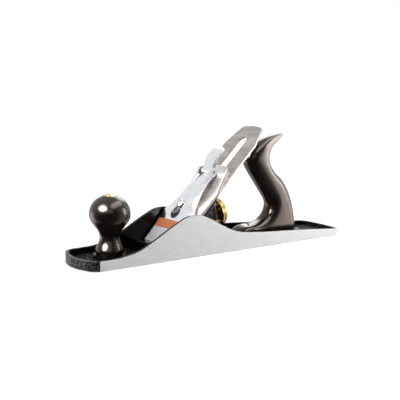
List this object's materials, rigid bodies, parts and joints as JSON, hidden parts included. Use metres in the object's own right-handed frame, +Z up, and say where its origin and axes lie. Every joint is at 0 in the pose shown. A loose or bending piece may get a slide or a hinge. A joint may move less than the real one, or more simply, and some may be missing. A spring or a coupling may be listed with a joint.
{
  "type": "bench plane",
  "caption": "Cast iron bench plane with black knob and tote, lever cap with cam lever, cutting iron with cap iron, adjustable frog and brass depth wheel.",
  "frame": {"origin": "middle of the sole, on the sole plane, under the centre of the plane", "axes": "+X from toe to heel along the sole, +Y across the sole, +Z up"},
  "size_m": [0.3556, 0.0636, 0.1347],
  "materials": {
    "enamel": "gloss black enamel, ground cheeks and sole",
    "plastic": "gloss dark brown-black",
    "steel": "machined steel",
    "iron_steel": "ground tool steel",
    "bright": "polished nickel plate",
    "brass": "polished brass"
  },
  "bodies": {
    "body": {"plane_body": "enamel", "knob": "plastic", "knob_stud": "steel", "knob_nut": "brass", "tote": "plastic", "tote_stud": "steel", "tote_nut": "brass", "tote_toe_screw": "steel", "frog_screw_left": "steel", "frog_screw_right": "steel", "frog_washer_left": "steel", "frog_washer_right": "steel"},
    "frog": {"frog": "enamel", "frog_clip": "steel", "frog_clip_screw": "steel", "y_lever_pin": "steel", "lateral_lever_rivet": "steel", "lever_cap_screw": "steel"},
    "adjusting_screw": {"frog_adjusting_screw": "steel"},
    "y_lever": {"y_lever": "steel"},
    "depth_stud": {"depth_stud": "steel"},
    "depth_wheel": {"depth_wheel": "brass"},
    "lateral_lever": {"lateral_lever": "steel", "lateral_roller_rivet": "steel"},
    "lateral_roller": {"lateral_roller": "steel"},
    "iron_slide": {"cap_iron_screw": "steel"},
    "blade": {"plane_iron": "iron_steel", "cap_iron": "iron_steel"},
    "lever_cap": {"lever_cap": "bright", "cam_pin": "steel", "lever_cap_spring": "steel", "lever_cap_spring_rivet": "steel"},
    "cam_lever": {"cam_lever": "bright"}
  },
  "joints": [
    {"name": "frog_slide", "type": "slide", "parent": "body", "child": "frog", "axis": [-1, 0, 0], "range_m": [0, 0.002]},
    {"name": "frog_screw_turn", "type": "hinge", "parent": "frog", "child": "adjusting_screw", "pos_m": [-0.01, 0, 0.0116], "axis": [1, 0, 0], "range_deg": [0, 600]},
    {"name": "depth_wheel_travel", "type": "slide", "parent": "frog", "child": "depth_stud", "axis": [-0.9659, 0, -0.2588], "range_m": [-0.0007, 0.00175]},
    {"name": "depth_wheel_turn", "type": "hinge", "parent": "depth_stud", "child": "depth_wheel", "pos_m": [0.0068, 0, 0.0412], "axis": [-0.9659, 0, -0.2588], "range_deg": [-240, 600]},
    {"name": "y_lever_swing", "type": "hinge", "parent": "frog", "child": "y_lever", "pos_m": [-0.01265, 0, 0.04879], "axis": [0, 1, 0], "range_deg": [-3.5, 8.4]},
    {"name": "iron_feed", "type": "slide", "parent": "frog", "child": "iron_slide", "axis": [0.7071, 0, 0.7071], "range_m": [-0.0009, 0.0022]},
    {"name": "blade_tilt", "type": "hinge", "parent": "iron_slide", "child": "blade", "pos_m": [0.0029, 0, 0.0799], "axis": [-0.7071, 0, 0.7071], "range_deg": [-0.85, 0.85]},
    {"name": "lateral_lever_swing", "type": "hinge", "parent": "frog", "child": "lateral_lever", "pos_m": [-0.00806, 0, 0.06329], "axis": [-0.7071, 0, 0.7071], "range_deg": [-6, 6]},
    {"name": "lateral_roller_spin", "type": "hinge", "parent": "lateral_lever", "child": "lateral_roller", "pos_m": [-0.0176, 0, 0.0594], "axis": [-0.7071, 0, 0.7071], "continuous": true},
    {"name": "lever_cap_slide", "type": "slide", "parent": "frog", "child": "lever_cap", "axis": [0.7071, 0, 0.7071], "range_m": [0, 0.011]},
    {"name": "cam_lever_swing", "type": "hinge", "parent": "lever_cap", "child": "cam_lever", "pos_m": [-0.01159, 0, 0.08634], "axis": [0, -1, 0], "range_deg": [0, 95]}
  ],
  "couplings": [
    {"joint": "frog_screw_turn", "follows": "frog_slide", "rad_per_m": 5000},
    {"joint": "depth_wheel_turn", "follows": "depth_wheel_travel", "rad_per_m": 5927.5},
    {"joint": "y_lever_swing", "follows": "depth_wheel_travel", "rad_per_m": 80.906},
    {"joint": "iron_feed", "follows": "depth_wheel_travel", "ratio": 1.1893},
    {"joint": "blade_tilt", "follows": "lateral_lever_swing", "ratio": 0.1333}
  ]
}
